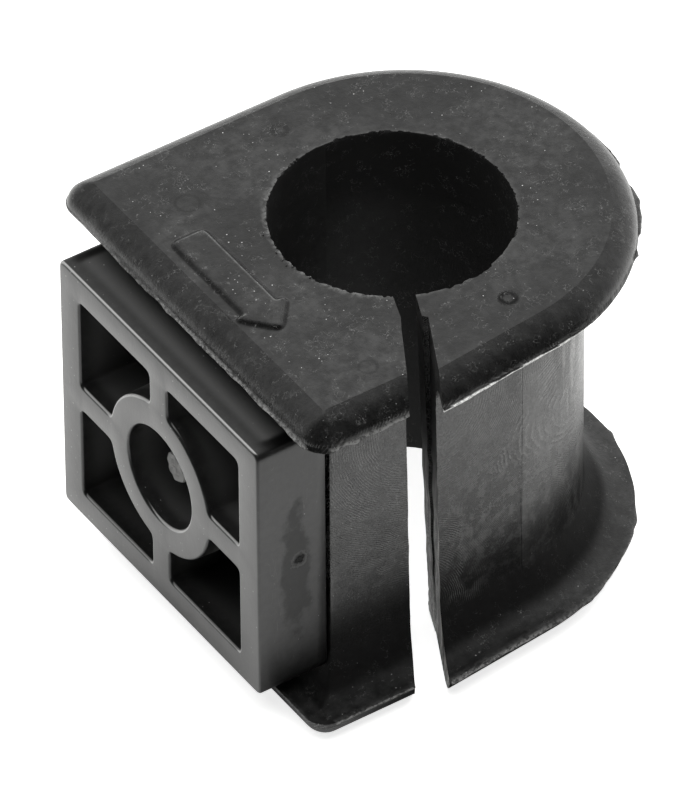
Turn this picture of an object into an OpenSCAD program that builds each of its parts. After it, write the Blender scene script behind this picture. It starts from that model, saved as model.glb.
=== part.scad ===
// Split sway bar bushing: a flanged rubber bush with a ribbed plastic spacer block
// seated in its flat side.
// The bar runs along Z. The origin is on the bar's axis, at the bush's lower end face.
// The block faces -X, the half-round end faces +X, and the split opens towards -Y.
// The jaw between the split and the half-round end is free, and springs open.

/* [Rubber bush] */
// Length of the bush along the bar
bush_l = 40.8; // [38:0.2:60]
// Bar that the bush holds
bar_d = 24; // [18:0.5:26]
// Width of the body across its two straight sides
body_w = 34.6; // [33:0.2:44]
// Distance from the bar's axis to the flat side that carries the block
seat_x = 18.8; // [18:0.1:24]
// Distance from the bar's axis to the centre of the half-round end
round_x = 1.5; // [0:0.1:4]
// Angle through which the free jaw springs open, about the centre of the half-round end
jaw_angle = 6; // [1:0.5:8]

/* [Flanges] */
// Overhang of the flanges along the straight sides and the half-round end
side_lip = 5.05; // [4:0.05:8]
// Overhang of the flanges over the block
block_lip = 4.9; // [4:0.1:6]
// Height of the rounded shoulder, from the end face to the parting line
shoulder_h = 2.5; // [1.5:0.1:4]
// Radius of the trumpet flare under each flange
flare_r = 4.5; // [3:0.1:6]
// Plan radius of the two square corners
corner_r = 2.3; // [1:0.1:4]
// Thickness of the flash left along the parting line
flash_t = 0.3; // [0.2:0.05:0.6]
// Width of the flash
flash_w = 0.45; // [0.2:0.05:0.8]

/* [Split] */
// Bearing of the split, from -Y towards the block
split_angle = 26.8; // [10:0.1:32]
// Width of the split between the bore and the blade's step
split_neck_w = 2.05; // [1:0.05:4]
// Width of the split just outside the blade's step
split_w = 2.55; // [2.1:0.05:4]
// Extra width of the split at the rim, all on the block's side
split_spread = 0.65; // [0:0.05:2]
// Distance of the blade's step from the bore's wall
split_step = 3.1; // [1:0.1:5]
// Lean of the lip on the block's side, from the upper end down
block_lip_lean = 0.85; // [0:0.05:2]
// Lean of the free jaw's lip outside the blade's step
jaw_lip_lean = 1.1; // [0:0.05:1.5]
// Lean of the free jaw's lip inside the step, so that the step dies out on the way down
neck_lip_lean = 1.8; // [0:0.05:1.9]

/* [Direction arrow] */
// Distance from the bar's axis to the middle of the arrow
arrow_x = 18.1; // [16:0.1:20]
// Overall length of the raised arrow
arrow_l = 15.7; // [8:0.1:18]
// Width of the arrow's shaft
arrow_w = 3.3; // [1.5:0.1:4]
// Width of the arrow's head
arrow_head_w = 5.3; // [3:0.1:7]
// Length of the arrow's head
arrow_head_l = 3.2; // [2:0.1:5]
// Height of the arrow above the end face
arrow_h = 0.4; // [0.2:0.05:1]

/* [Spacer block] */
// Distance from the bar's axis to the block's front face
block_x = 27; // [25:0.1:34]
// Step from each of the body's straight sides in to the block's side
block_inset = 0.1; // [0.05:0.05:0.5]
// Groove between the block's shoulder and the rubber
block_gap = 0.7; // [0.3:0.1:1.5]
// Clearance between the block's ends and the flares
block_end_gap = 0.1; // [0.1:0.1:2]
// Radius of the block's outer edges
block_edge_r = 0.8; // [0.3:0.1:2]
// Thickness of the frame's two upright walls
wall_side = 3.4; // [2:0.1:5]
// Thickness of the frame's upper and lower walls
wall_end = 3.1; // [2:0.1:5]
// Thickness of the crossed ribs
rib_t = 3; // [1.5:0.1:5]
// Outer diameter of the middle ring
ring_d = 17.2; // [14:0.2:18]
// Diameter of the blind hole in the ring
hole_d = 11; // [6:0.2:12]
// Depth of the four pockets
pocket_depth = 9.2; // [6:0.1:10]
// Depth of the blind hole
hole_depth = 8.4; // [5:0.1:10]
// Corner radius of the pockets
pocket_r = 1; // [0.3:0.1:2]
// Diameter of the moulding gate's stub in the hole
gate_d = 3.3; // [1:0.1:5]
// Distance of the stub's tip behind the front face
gate_back = 1.75; // [0.5:0.05:4]

/* [Block seat] */
// Rubber left between the block's back and the bore
seat_wall = 3.8; // [3:0.1:6]
// Step from the block's sides in to its spigot
spigot_step = 2.4; // [1:0.1:4]
// Clearance round the spigot
spigot_gap = 0.1; // [0.05:0.05:0.3]
// Corner radius of the spigot
spigot_r = 1.5; // [0.5:0.1:3]

/* [Hidden] */
$fn = 96;

mid_z = bush_l / 2;
bar_r = bar_d / 2;
body_r = body_w / 2;
rim_r = body_r + side_lip;
rim_x = seat_x + block_lip;
flange_t = shoulder_h + flash_t;
spigot_x = bar_r + seat_wall;
// The block's shoulder reaches back to where the flares stand this high over the flanges
flare_rise = flare_r - sqrt(pow(flare_r, 2) - pow(flare_r - block_gap, 2));
block_w = body_w - 2 * block_inset;
block_h = bush_l - 2 * (flange_t + flare_rise + block_end_gap);
shoulder_x = seat_x + block_gap;
spigot_w = block_w - 2 * spigot_step;
spigot_h = block_h - 2 * spigot_step;
// A cut runs past a face by this much
past = 1;
// Plan lines that run out of the bush are this long
reach = 3 * rim_r;

// A rectangle about the origin with round corners.
module round_rect(w, h, r) {
    square([w - 2 * r, h], center = true);
    square([w, h - 2 * r], center = true);
    for (x = [-1, 1], y = [-1, 1])
        translate([x * (w / 2 - r), y * (h / 2 - r)]) circle(r);
}

// Half of the lower flange's section, out to its rim: the rounded shoulder and, on top of it,
// the flash. Distance from a middle plane or an axis runs along X and height along Y.
module flange_edge(rim) {
    difference() {
        square([rim, shoulder_h]);
        translate([rim - shoulder_h, 0]) square(shoulder_h);
    }
    intersection() {
        translate([rim - shoulder_h, shoulder_h]) circle(shoulder_h);
        square([rim, shoulder_h]);
    }
    translate([0, shoulder_h]) square([rim + flash_w, flash_t]);
}

// The same shapes at the lower end and, upside down, at the upper end.
module at_both_ends() {
    children();
    translate([0, bush_l]) mirror([0, 1]) children();
}

// Half of the spool's section: the body, and at each end a flange with its concave flare.
module spool_section(body, lip) {
    square([body, bush_l]);
    at_both_ends() {
        flange_edge(body + lip);
        difference() {
            translate([0, flange_t]) square([body + flare_r, flare_r]);
            translate([body + flare_r, flange_t + flare_r]) circle(flare_r);
        }
    }
}

// A plan outline run up through the whole bush and past both of its ends.
module through() {
    translate([0, 0, -past]) linear_extrude(bush_l + arrow_h + 2 * past) children();
}

// The half-round end: the side section turned about the round's centre. One turn ends square
// on the fixed side, the other starts where the free jaw's straight side does, and they overlap.
module round_end() {
    overlap = 10;
    translate([round_x, 0, 0]) {
        rotate([0, 0, -overlap])
            rotate_extrude(angle = 90 + overlap) spool_section(body_r, side_lip);
        rotate([0, 0, jaw_angle - 90])
            rotate_extrude(angle = 90 - jaw_angle + 2 * overlap) spool_section(body_r, side_lip);
    }
}

// What comes off a square corner, so that the shoulder turns round the corner's own axis.
module corner_waste(side) {
    size = corner_r + past;
    translate([-(rim_x - corner_r), side * (rim_r - corner_r), 0])
        difference() {
            translate([-size / 2, side * size / 2, mid_z]) cube([size, size, bush_l + 2 * past], center = true);
            rotate_extrude() {
                translate([0, flange_t]) square([corner_r, bush_l - 2 * flange_t]);
                at_both_ends() flange_edge(corner_r);
            }
        }
}

// The straight part: the side section run along X and the flat side's section run along Y
// meet in mitred corners.
module straight_part() {
    intersection() {
        translate([-reach, 0, 0])
            rotate([90, 0, 90])
                linear_extrude(reach + round_x) {
                    spool_section(body_r, side_lip);
                    mirror([1, 0]) spool_section(body_r, side_lip);
                }
        translate([round_x, reach, 0])
            rotate([90, 0, 0])
                linear_extrude(2 * reach)
                    mirror([1, 0]) spool_section(seat_x + round_x, block_lip);
    }
}

// The plan of the free jaw, from the split's middle line to the start of the half-round end.
module jaw_zone() {
    through()
        polygon([
            [0, 0],
            [-reach * sin(split_angle), -reach * cos(split_angle)],
            [round_x + reach * sin(jaw_angle), -reach * cos(jaw_angle)],
            [round_x, 0]
        ]);
}

// The free jaw: the side section run straight back from the half-round end, sprung open.
module free_jaw() {
    intersection() {
        translate([round_x, 0, 0])
            rotate([0, 0, jaw_angle])
                translate([-reach, 0, 0])
                    rotate([90, 0, 90])
                        linear_extrude(reach) mirror([1, 0]) spool_section(body_r, side_lip);
        jaw_zone();
    }
}

// The split in plan, drawn along +X from the bore to past the rim, with the block's side
// towards -Y.
module split_plan() {
    start = bar_r - 2 * past;
    step = bar_r + split_step;
    block_lip_y = split_neck_w / 2;
    jaw_lip_y = split_w - block_lip_y;
    spread = split_spread * (reach - step) / (rim_r - step);
    polygon([
        [start, -split_neck_w * 0.75],
        [step, -block_lip_y],
        [reach, -block_lip_y - spread],
        [reach, jaw_lip_y],
        [step, jaw_lip_y],
        [step, 0],
        [start, 0]
    ]);
}

// The jaw's side of the narrow part of the split, between the bore and the step that the
// blade left.
module neck_plan() {
    start = bar_r - 2 * past;
    step = bar_r + split_step;
    inner = -split_neck_w * 0.4;
    polygon([[start, inner], [step, inner], [step, split_neck_w * 0.43], [start, split_neck_w * 0.33]]);
}

// A plan outline run down through the bush from the upper end face, turned to the split's
// bearing and leaning about the split's line on that face.
module blade_cut(lean) {
    rotate([0, 0, -90 - split_angle])
        translate([0, 0, bush_l])
            rotate([lean, 0, 0])
                translate([0, 0, -bush_l - past]) linear_extrude(bush_l + 2 * past) children();
}

// Each lip has its own lean, so the split is wider at the lower end.
module split_cut() {
    blade_cut(block_lip_lean) split_plan();
    blade_cut(jaw_lip_lean) split_plan();
    blade_cut(neck_lip_lean) neck_plan();
}

// The raised arrow on the upper end face, pointing towards -Y.
module arrow() {
    tail = arrow_l / 2;
    neck = arrow_head_l - tail;
    translate([-arrow_x, 0, bush_l - past])
        linear_extrude(past + arrow_h) {
            translate([-arrow_w / 2, neck]) square([arrow_w, tail - neck]);
            polygon([[-arrow_head_w / 2, neck], [0, -tail], [arrow_head_w / 2, neck]]);
        }
}

// A prism on the block's axes: drawn with Y across and Z up, run from x0 back to x1.
module along_x(x0, x1) {
    translate([-x0, 0, mid_z]) rotate([90, 0, 90]) linear_extrude(x0 - x1) children();
}

// The recess in the rubber that takes the block's spigot.
module block_recess() {
    along_x(seat_x + past, spigot_x)
        round_rect(spigot_w + 2 * spigot_gap, spigot_h + 2 * spigot_gap, spigot_r + spigot_gap);
}

module rubber_bush() {
    color([0.12, 0.12, 0.12])
        difference() {
            union() {
                round_end();
                difference() {
                    straight_part();
                    jaw_zone();
                }
                free_jaw();
                arrow();
            }
            translate([0, 0, -past]) cylinder(r = bar_r, h = bush_l + 2 * past);
            split_cut();
            block_recess();
            corner_waste(1);
            corner_waste(-1);
        }
}

// The four pockets: the frame's inside less the crossed ribs and the ring.
module pocket_outline() {
    quarter_w = (block_w - rib_t) / 2 - wall_side;
    quarter_h = (block_h - rib_t) / 2 - wall_end;
    difference() {
        for (y = [-1, 1], z = [-1, 1])
            translate([y * (quarter_w + rib_t) / 2, z * (quarter_h + rib_t) / 2])
                round_rect(quarter_w, quarter_h, pocket_r);
        circle(d = ring_d);
    }
}

module spacer_block() {
    floor_x = block_x - hole_depth;
    color([0.42, 0.42, 0.41]) {
        difference() {
            union() {
                along_x(block_x, shoulder_x) round_rect(block_w, block_h, block_edge_r);
                along_x(shoulder_x, spigot_x) round_rect(spigot_w, spigot_h, spigot_r);
            }
            along_x(block_x + past, block_x - pocket_depth) pocket_outline();
            along_x(block_x + past, floor_x) circle(d = hole_d);
        }
        along_x(block_x - gate_back, floor_x) circle(d = gate_d);
    }
}

rubber_bush();
spacer_block();
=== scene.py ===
"""A split sway bar bushing: a flanged rubber bush, and a ribbed plastic spacer block seated in its flat side.

Lengths are worked out in millimetres and turned to metres when a mesh is made. The bar's axis is the Z axis,
the block faces -X, the half-round end faces +X and the split opens towards -Y.
"""
import math

import bmesh
import bpy
import numpy as np
from mathutils import Matrix, Vector
from mathutils.geometry import delaunay_2d_cdt


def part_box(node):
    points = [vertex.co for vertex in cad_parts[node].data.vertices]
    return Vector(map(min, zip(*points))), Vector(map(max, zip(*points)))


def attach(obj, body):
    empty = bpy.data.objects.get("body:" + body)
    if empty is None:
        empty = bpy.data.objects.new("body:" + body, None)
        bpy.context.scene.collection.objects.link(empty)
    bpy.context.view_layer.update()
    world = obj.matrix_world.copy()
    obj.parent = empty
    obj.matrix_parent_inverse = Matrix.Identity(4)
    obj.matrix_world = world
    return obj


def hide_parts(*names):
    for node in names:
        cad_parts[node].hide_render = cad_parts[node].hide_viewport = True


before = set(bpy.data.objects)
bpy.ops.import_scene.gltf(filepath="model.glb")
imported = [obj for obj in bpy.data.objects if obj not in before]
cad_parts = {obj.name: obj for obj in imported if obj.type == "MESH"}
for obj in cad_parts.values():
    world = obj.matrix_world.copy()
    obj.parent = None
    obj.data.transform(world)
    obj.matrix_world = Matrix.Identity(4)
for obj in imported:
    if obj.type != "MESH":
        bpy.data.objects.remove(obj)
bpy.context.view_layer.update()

MM = 0.001
SEED = 7

# Overall sizes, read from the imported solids
bush_lo, bush_hi = (np.array(c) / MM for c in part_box("rubber_bush"))
block_lo, block_hi = (np.array(c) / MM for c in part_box("spacer_block"))

# Rubber bush
ARROW_H = 0.4
BUSH_L = bush_hi[2] - ARROW_H
BAR_R = 12.0
BODY_R = 17.3
ROUND_X = 1.5
SEAT_X = 18.8
SIDE_LIP = 5.05
BLOCK_LIP = 4.9
SHOULDER_H = 2.5
FLASH_T = 0.3
FLANGE_T = SHOULDER_H + FLASH_T
FLARE_R = 4.5
CORNER_R = 2.3
BODY_CORNER_R = 0.3
RUBBER_SHARP_DEG = 17
SHOULDER_START = math.radians(33)

# Split
SPLIT_ANGLE = math.radians(26.8)
SPLIT_OUT = np.array([-math.sin(SPLIT_ANGLE), -math.cos(SPLIT_ANGLE)])
SPLIT_ACROSS = np.array([-math.cos(SPLIT_ANGLE), math.sin(SPLIT_ANGLE)])
STEP_S = BAR_R + 3.1
STEP_RUN = 0.25
BLOCK_LIP_LEAN = math.tan(math.radians(0.85))
JAW_LIP_LEAN = math.tan(math.radians(1.1))
NECK_LIP_LEAN = math.tan(math.radians(1.8))

# How far the lips lie from the split's middle line on the upper end face, by the distance from the bar's axis
BLOCK_LIP_TOP = ([BAR_R, STEP_S, 16.9, 19.7, 22.6, 26.0], [1.42, 1.06, 1.22, 1.34, 1.48, 1.71])
NECK_LIP_TOP = ([BAR_R, STEP_S], [0.72, 0.93])
JAW_LIP_TOP = 1.5

# The free jaw is sprung open about the centre of the half-round end
JAW_ANGLE = math.radians(6)
JAW_OUT = np.array([math.sin(JAW_ANGLE), -math.cos(JAW_ANGLE)])

# Recess for the block's spigot
SPIGOT_GAP = 0.1
BLOCK_BACK_X = -block_hi[0]
BLOCK_FRONT_X = -block_lo[0]
BLOCK_W = block_hi[1] - block_lo[1]
BLOCK_H = block_hi[2] - block_lo[2]
SPIGOT_STEP = 2.4
MID_Z = BUSH_L / 2


def smooth_step(t):
    """3t^2 - 2t^3, with t held between 0 and 1."""
    t = np.clip(t, 0, 1)
    return t * t * (3 - 2 * t)


def wander(x, scale, seed):
    """Smooth noise along a line, from -1 to 1: random values at whole multiples of scale, joined by smooth
    steps."""
    table = np.random.default_rng(seed).uniform(-1, 1, 4096)
    t = np.asarray(x, float) / scale
    cell = np.floor(t).astype(int)
    f = smooth_step(t - cell)
    return table[cell % 4096] * (1 - f) + table[(cell + 1) % 4096] * f


def wander_octaves(x, scale, seed, octaves=3):
    """Sum of wander() at halving scales and heights."""
    return sum(wander(x, scale / 2 ** k, seed + k) / 2 ** k for k in range(octaves))


def quarter_turn(n):
    """Angles from 0 to 90 degrees, in radians."""
    return np.linspace(0, math.pi / 2, n)


def link(obj):
    """An object put into the scene."""
    bpy.context.scene.collection.objects.link(obj)
    return obj


def mesh_object(name, parts, sharp_deg):
    """One mesh from several (points in mm, faces) parts. Points closer than 1.5 micrometres are merged, which
    closes the seams between parts, and edges steeper than sharp_deg stay sharp."""
    verts, starts, totals, loops = [], [], [], []
    base = loop_base = 0
    for points, faces in parts:
        points = np.asarray(points, float).reshape(-1, 3)
        faces = np.asarray(faces, int)
        verts.append(points)
        loops.append((faces + base).ravel())
        n = faces.shape[1]
        starts.append(loop_base + np.arange(len(faces)) * n)
        totals.append(np.full(len(faces), n))
        base += len(points)
        loop_base += faces.size
    verts, loops = np.concatenate(verts), np.concatenate(loops)
    starts, totals = np.concatenate(starts), np.concatenate(totals)
    mesh = bpy.data.meshes.new(name)
    mesh.vertices.add(len(verts))
    mesh.vertices.foreach_set("co", (verts * MM).astype(np.float32).ravel())
    mesh.loops.add(len(loops))
    mesh.loops.foreach_set("vertex_index", loops.astype(np.int32))
    mesh.polygons.add(len(starts))
    mesh.polygons.foreach_set("loop_start", starts.astype(np.int32))
    mesh.polygons.foreach_set("loop_total", totals.astype(np.int32))
    mesh.update(calc_edges=True)
    bm = bmesh.new()
    bm.from_mesh(mesh)
    bmesh.ops.remove_doubles(bm, verts=bm.verts, dist=1.5e-6)
    bmesh.ops.dissolve_degenerate(bm, edges=bm.edges, dist=1e-7)
    bmesh.ops.recalc_face_normals(bm, faces=bm.faces)
    bm.to_mesh(mesh)
    bm.free()
    mesh.shade_smooth()
    mesh.set_sharp_from_angle(angle=math.radians(sharp_deg))
    return link(bpy.data.objects.new(name, mesh))


def grid_part(points):
    """Faces over a grid of points, shaped (rows, columns, 3)."""
    rows, cols = points.shape[:2]
    i, j = np.meshgrid(np.arange(rows - 1), np.arange(cols - 1), indexing="ij")
    a = (i * cols + j).ravel()
    faces = np.stack([a, a + 1, a + cols + 1, a + cols], 1)
    return points.reshape(-1, 3), faces


def ring_part(rings):
    """Faces between closed rings of points, shaped (rings, points in a ring, 3)."""
    return grid_part(np.concatenate([rings, rings[:, :1]], 1))


# The spool's outer side

# Flash along each rim: distance in mm from the split round to the free jaw, and width in mm
FLASH_UPPER = ([0, 2, 8, 11, 13, 17, 22, 31, 38, 43, 50, 54, 55.5, 57, 80, 108, 111, 113, 115, 117.5, 118.7,
                120.8, 121.6, 123, 126, 128.3, 128.8, 130.6, 131.4, 132.3, 140, 150, 156, 164],
               [0.1, 0.2, 0.15, 0.2, 0.4, 0.4, 0.25, 0.3, 0.12, 0.12, 0.05, 0.1, 0.3, 0.12, 0.25, 0.25, 0.4,
                0.8, 0.95, 0.7, 0.04, 0.04, 0.4, 0.6, 0.55, 0.4, 0.04, 0.04, 0.45, 0.06, 0.04, 0.1, 0.25,
                0.25])
FLASH_LOWER = ([0, 10, 14, 54, 80, 114, 117, 119, 128, 130, 134, 137, 139, 143, 148, 164],
               [0.1, 0.1, 0.04, 0.2, 0.2, 0.2, 0.4, 0.12, 0.1, 0.4, 0.3, 0.04, 0.4, 0.6, 0.6, 0.5])
# How far the upper flash hangs down, in mm, along the same distance
FLASH_DROOP = ([0, 4, 12, 16, 22, 28, 33, 38, 44, 50, 56, 70, 125, 135, 164],
               [0.3, 0.45, 0.5, 0.5, 0.25, 0.5, 0.2, 0.6, 0.35, 0.1, 0.05, 0, 0, 0.12, 0.12])


def flash_width(run, table, seed):
    """Width of the torn flash along a rim: a table of widths, with a ragged edge."""
    ragged = 0.85 + 0.2 * wander_octaves(run, 1.3, seed)
    return np.maximum(np.interp(run, *table) * ragged, 0.02)


def spool_profile():
    """Height, overhang along the sides, overhang over the block, and share of the flash, from the lower end
    face to the upper one. The shoulder is an elliptic arc that leaves the end face at about 19 degrees and
    ends upright. Then come the flash, the quarter-round hollow of the flare, and the body."""
    turn = quarter_turn(11)
    steep = SHOULDER_START + turn * (1 - 2 * SHOULDER_START / math.pi)
    shoulder_z = SHOULDER_H * (1 - np.cos(steep) / math.cos(SHOULDER_START))
    shoulder_in = SHOULDER_H * (1 - np.sin(steep)) / (1 - math.sin(SHOULDER_START))
    flash_z = SHOULDER_H + FLASH_T * np.array([0.12, 0.5, 0.88, 1.0])
    flash_share = np.array([0.75, 1.0, 0.7, 0.0])
    flare_z = FLANGE_T + FLARE_R * (1 - np.cos(turn[1:]))
    flare_out = FLARE_R * (1 - np.sin(turn[1:]))
    seat_edge = MID_Z - (BLOCK_H / 2 - SPIGOT_STEP + SPIGOT_GAP)
    body_z = np.linspace(seat_edge + 0.5, MID_Z, 9)[:-1]
    body_z = np.concatenate([[seat_edge - 0.03, seat_edge + 0.03], body_z])
    z = np.concatenate([shoulder_z, flash_z, [FLANGE_T], flare_z, body_z])
    side = np.concatenate([SIDE_LIP - shoulder_in, [SIDE_LIP] * 4, [FLARE_R], flare_out, 0 * body_z])
    block = np.concatenate([BLOCK_LIP - shoulder_in, [BLOCK_LIP] * 4, [FLARE_R], flare_out, 0 * body_z])
    share = np.concatenate([0 * shoulder_z, flash_share, [0], 0 * flare_z, 0 * body_z])
    z = np.concatenate([z, [MID_Z], BUSH_L - z[::-1]])
    side, block, share = (np.concatenate([a, [0], a[::-1]]) for a in (side, block, share))
    return z, side, block, share


def lip_offset(s, z, towards_block):
    """Distance of a lip of the split from the split's middle line, s mm out from the bar's axis and z mm up.
    Each lip leans by its own angle and wavers a little. The blade's step is in the free jaw's lip, and dies
    out on the way down."""
    down = BUSH_L - z
    if towards_block:
        top = np.interp(s, *BLOCK_LIP_TOP)
        return top - BLOCK_LIP_LEAN * down - 0.03 * wander_octaves(z, 1.7, SEED + 60)
    inside = -np.interp(s, *NECK_LIP_TOP) - NECK_LIP_LEAN * down
    outside = np.minimum(-JAW_LIP_TOP - JAW_LIP_LEAN * down, inside)
    waver = 0.06 * wander_octaves(z, 1.3, SEED + 70) * smooth_step(down / 4)
    return inside + smooth_step((s - STEP_S) / STEP_RUN) * (outside - inside) + waver


def lip_points(s, z, towards_block):
    """Plan points of a lip of the split at distances s and heights z."""
    return s[..., None] * SPLIT_OUT + lip_offset(s, z, towards_block)[..., None] * SPLIT_ACROSS


def lip_reach(width, z, towards_block):
    """The s at which a lip meets its side, by repeated substitution. On the block's side that side is the
    line y = -width. On the free jaw it is square to JAW_OUT, at that distance from the round's centre."""
    out = -SPLIT_OUT[1] if towards_block else JAW_OUT @ SPLIT_OUT
    across = -SPLIT_ACROSS[1] if towards_block else JAW_OUT @ SPLIT_ACROSS
    centre = 0 if towards_block else JAW_OUT[0] * ROUND_X
    s = width / out
    for _ in range(12):
        s = (width + centre - lip_offset(s, z, towards_block) * across) / out
    return s


def bore_lip(z, towards_block):
    """Bearing of the line where a lip meets the bore's wall, at heights z."""
    s = np.full(np.shape(z), BAR_R)
    for _ in range(6):
        s = np.sqrt(BAR_R ** 2 - lip_offset(s, z, towards_block) ** 2)
    xy = lip_points(s, z, towards_block)
    return np.arctan2(xy[..., 1], xy[..., 0])


def d_outline(z, side, block, counts):
    """Plan outlines, one for each height, shaped (heights, points, 2). Each is a D: from the split along -Y,
    round a corner, up the flat side, round a corner, along +Y, round the half-circle and back along -Y to
    the split."""
    width = BODY_R + side
    flat = SEAT_X + block
    corner = np.maximum(BODY_CORNER_R, CORNER_R - (SIDE_LIP - side))
    x_near = lip_points(lip_reach(width, z, True), z, True)[:, 0]
    far = lip_points(lip_reach(width, z, False), z, False)

    def line(x0, y0, x1, y1, f):
        return np.stack([x0[:, None] + (x1 - x0)[:, None] * f, y0[:, None] + (y1 - y0)[:, None] * f], -1)

    def arc(cx, cy, r, a0, a1, n):
        a = np.linspace(a0, a1, n)
        return np.stack([cx[:, None] + r[:, None] * np.cos(a), cy[:, None] + r[:, None] * np.sin(a)], -1)

    inner_x, inner_y = corner - flat, width - corner
    zero = 0 * width
    seat_half = (BLOCK_W / 2 - SPIGOT_STEP + SPIGOT_GAP) / (BODY_R - BODY_CORNER_R)
    inner = np.linspace(-seat_half + 0.002, seat_half - 0.002, counts["flat"])
    ends = np.linspace(seat_half + 0.002, 1, 6)
    up = np.concatenate([-ends[::-1], inner, ends]) / 2 + 0.5
    return np.concatenate([
        line(x_near, -width, inner_x, -width, np.linspace(0, 1, counts["near"])),
        arc(inner_x, -inner_y, corner, 1.5 * math.pi, math.pi, counts["corner"])[:, 1:-1],
        line(-flat, -inner_y, -flat, inner_y, up),
        arc(inner_x, inner_y, corner, math.pi, math.pi / 2, counts["corner"])[:, 1:-1],
        line(inner_x, width, zero + ROUND_X, width, np.linspace(0, 1, counts["back"])),
        arc(zero + ROUND_X, zero, width, math.pi / 2, JAW_ANGLE - math.pi / 2, counts["round"])[:, 1:-1],
        line(ROUND_X + width * JAW_OUT[0], width * JAW_OUT[1], far[:, 0], far[:, 1],
             np.linspace(0, 1, counts["far"])),
    ], 1)


def bush_parts():
    """The bush is a bent box with six sides: the bore, the outer side, two end faces and the two cut faces
    of the split. u runs round the bar from lip to lip, v from the bore out, and w up the profile."""
    z, side, block, share = spool_profile()
    counts = {"near": 26, "corner": 9, "flat": 76, "back": 54, "round": 150, "far": 22}
    outer = d_outline(z, side, block, counts)
    nw, nu = outer.shape[:2]
    body = outer[nw // 2]
    run = np.concatenate([[0], np.cumsum(np.linalg.norm(np.diff(body, axis=0), axis=1))])

    # The flash is torn: it comes and goes along the rim, and hangs over the parting line here and there
    rim = outer[int(np.argmax(share[:nw // 2]))]
    rim_run = np.concatenate([[0], np.cumsum(np.linalg.norm(np.diff(rim, axis=0), axis=1))])
    out = np.gradient(rim, axis=0)
    out = np.stack([out[:, 1], -out[:, 0]], 1)
    out /= np.linalg.norm(out, axis=1)[:, None]
    out *= np.sign(np.sum(out * rim, 1))[:, None]
    upper = (np.arange(nw) > nw // 2)[:, None]
    fin = np.where(upper, flash_width(rim_run, FLASH_UPPER, SEED),
                   flash_width(rim_run, FLASH_LOWER, SEED + 10))
    outer = outer + (share[:, None] * fin)[..., None] * out[None]
    outer[..., 0] = np.minimum(outer[..., 0], bush_hi[0] - 0.03)
    heights = np.repeat(z[:, None], nu, 1)
    droop = np.interp(rim_run, *FLASH_DROOP) * (0.75 + 0.4 * wander_octaves(rim_run, 1.6, SEED + 31))
    heights = heights - np.where(upper, share[:, None] * droop, 0)

    # Recess for the block's spigot
    seat_y = BLOCK_W / 2 - SPIGOT_STEP + SPIGOT_GAP
    seat_z = BLOCK_H / 2 - SPIGOT_STEP + SPIGOT_GAP
    in_seat = (np.abs(outer[..., 1]) < seat_y) & (np.abs(heights - MID_Z) < seat_z)
    in_seat &= outer[..., 0] < -SEAT_X + 0.01
    outer[..., 0] = np.where(in_seat, -BLOCK_BACK_X, outer[..., 0])
    outer_part = np.concatenate([outer, heights[..., None]], -1)

    # The bore's wall, with the same points round it, at bearings spread between the lips
    bearing = np.unwrap(np.arctan2(body[:, 1], body[:, 0]))
    first, last = bore_lip(z, True)[:, None], bore_lip(z, False)[:, None]
    first = first + 2 * math.pi * np.round((bearing[0] - first) / (2 * math.pi))
    last = last + 2 * math.pi * np.round((bearing[-1] - last) / (2 * math.pi))
    bearing = first + ((bearing - bearing[0]) / (bearing[-1] - bearing[0]))[None] * (last - first)
    edge = np.minimum(z, BUSH_L - z)
    chips = 0.04 + 0.26 * np.clip(wander_octaves(run, 0.8, SEED + 50, 4), 0, 1)
    bore_r = BAR_R + np.exp(-edge / 0.14)[:, None] * chips[None]
    bore_xy = np.stack([bore_r * np.cos(bearing), bore_r * np.sin(bearing)], -1)
    bore = np.concatenate([bore_xy, np.repeat(z[:, None], nu, 1)[..., None]], -1)

    # Shares of the way from the bore to the outer side, with the blade's step at fixed places
    inside = np.linspace(0, 1, 7)
    outside = np.linspace(0, 1, 16)
    s0 = math.sqrt(BAR_R ** 2 - BLOCK_LIP_TOP[1][0] ** 2)

    def way(s_end):
        past_step = STEP_S + STEP_RUN
        s = np.concatenate([s0 + (STEP_S - s0) * inside, past_step + (s_end - past_step) * outside])
        return s, (s - s0) / (s_end - s0)

    def end_face(row, height):
        share_v = way(lip_reach(BODY_R + side[row], z[row], True))[1][None, :, None]
        flat = bore_xy[row][:, None] * (1 - share_v) + outer[row][:, None] * share_v
        for towards_block, at in ((True, 0), (False, -1)):
            s_lip = way(lip_reach(BODY_R + side[row], z[row], towards_block))[0]
            lip = lip_points(s_lip, z[row], towards_block)
            pull = lip - flat[at]
            pull[[0, -1]] = 0
            distance = run if at == 0 else run[-1] - run
            flat = flat + np.exp(-distance / 1.2)[:, None, None] * pull[None]
        return np.concatenate([flat, np.full(flat.shape[:2] + (1,), height)], -1)

    def cut_face(towards_block):
        at = 0 if towards_block else -1
        rows = []
        for k in range(nw):
            s, share_v = way(lip_reach(BODY_R + side[k], z[k], towards_block))
            xy = lip_points(s, z[k], towards_block)
            xy[0] = bore_xy[k, at]
            xy[-1] = outer[k, at]
            zz = z[k] + (heights[k, at] - z[k]) * share_v
            rows.append(np.concatenate([xy, zz[:, None]], 1))
        return np.stack(rows)

    sides = (outer_part, bore, end_face(0, 0.0), end_face(nw - 1, BUSH_L), cut_face(True), cut_face(False))
    return [grid_part(points) for points in sides]


# Closed outlines, lofts and caps

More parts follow.
